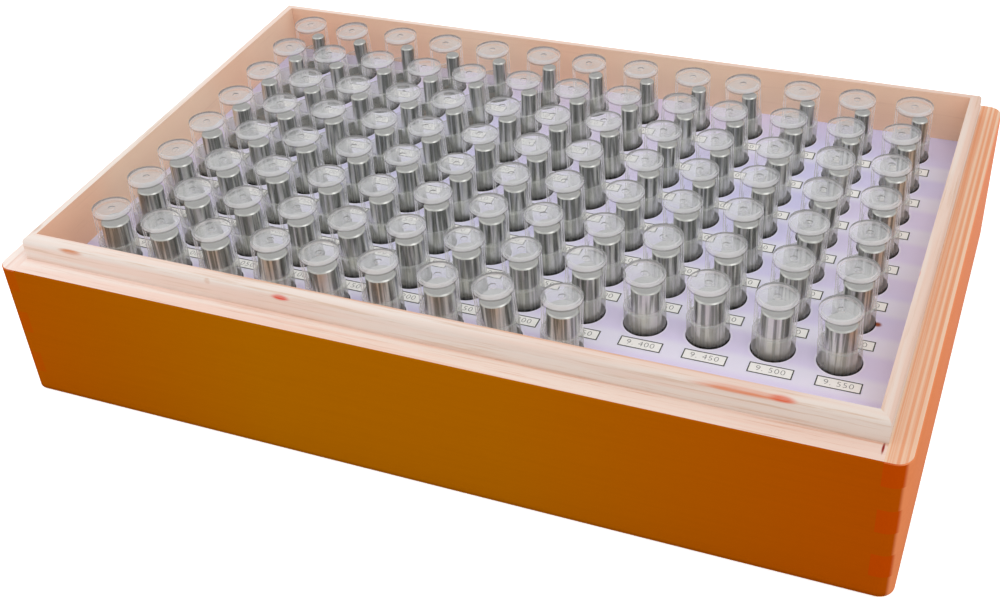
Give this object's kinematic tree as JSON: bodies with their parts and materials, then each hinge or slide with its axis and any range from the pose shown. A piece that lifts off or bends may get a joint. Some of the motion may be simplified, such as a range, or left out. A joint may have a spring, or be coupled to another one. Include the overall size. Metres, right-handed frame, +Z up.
{
  "type": "pin gauge set",
  "caption": "Cased set of steel pin gauges, each in a capped clear tube standing in a labelled hole panel inside an open wooden box with a raised lip.",
  "frame": {"origin": "middle of the case's underside, on the surface that the case stands on", "axes": "+X to the right along the case's long side, +Y to the back row of pins, +Z up"},
  "size_m": [0.296, 0.1954, 0.063],
  "materials": {
    "case_wood": "orange-brown satin lacquer over fine straight grain",
    "bottom_wood": "plain sheet",
    "lip_wood": "pale softwood, thin clear lacquer",
    "panel": "pale violet sheet with cream size labels",
    "pin_steel": "ground and lapped",
    "tube_body_plastic": "milky, see-through",
    "tube_cap_plastic": "clear"
  },
  "bodies": {
    "root": {"front_board": "case_wood", "back_board": "case_wood", "left_board": "case_wood", "right_board": "case_wood", "bottom_board": "bottom_wood", "lip_front": "lip_wood", "lip_back": "lip_wood", "lip_left": "lip_wood", "lip_right": "lip_wood", "panel_support_front": "lip_wood", "panel_support_back": "lip_wood", "panel_support_left": "lip_wood", "panel_support_right": "lip_wood", "hole_panel": "panel", "pins_row_1": "pin_steel", "tube_bodies_row_1": "tube_body_plastic", "tube_caps_row_1": "tube_cap_plastic", "pins_row_2": "pin_steel", "tube_bodies_row_2": "tube_body_plastic", "tube_caps_row_2": "tube_cap_plastic", "pins_row_3": "pin_steel", "tube_bodies_row_3": "tube_body_plastic", "tube_caps_row_3": "tube_cap_plastic", "pins_row_4": "pin_steel", "tube_bodies_row_4": "tube_body_plastic", "tube_caps_row_4": "tube_cap_plastic", "pins_row_5": "pin_steel", "tube_bodies_row_5": "tube_body_plastic", "tube_caps_row_5": "tube_cap_plastic", "pins_row_6": "pin_steel", "tube_bodies_row_6": "tube_body_plastic", "tube_caps_row_6": "tube_cap_plastic", "pins_row_7": "pin_steel", "tube_bodies_row_7": "tube_body_plastic", "tube_caps_row_7": "tube_cap_plastic", "pins_row_8": "pin_steel", "tube_bodies_row_8": "tube_body_plastic", "tube_caps_row_8": "tube_cap_plastic"}
  },
  "joints": []
}
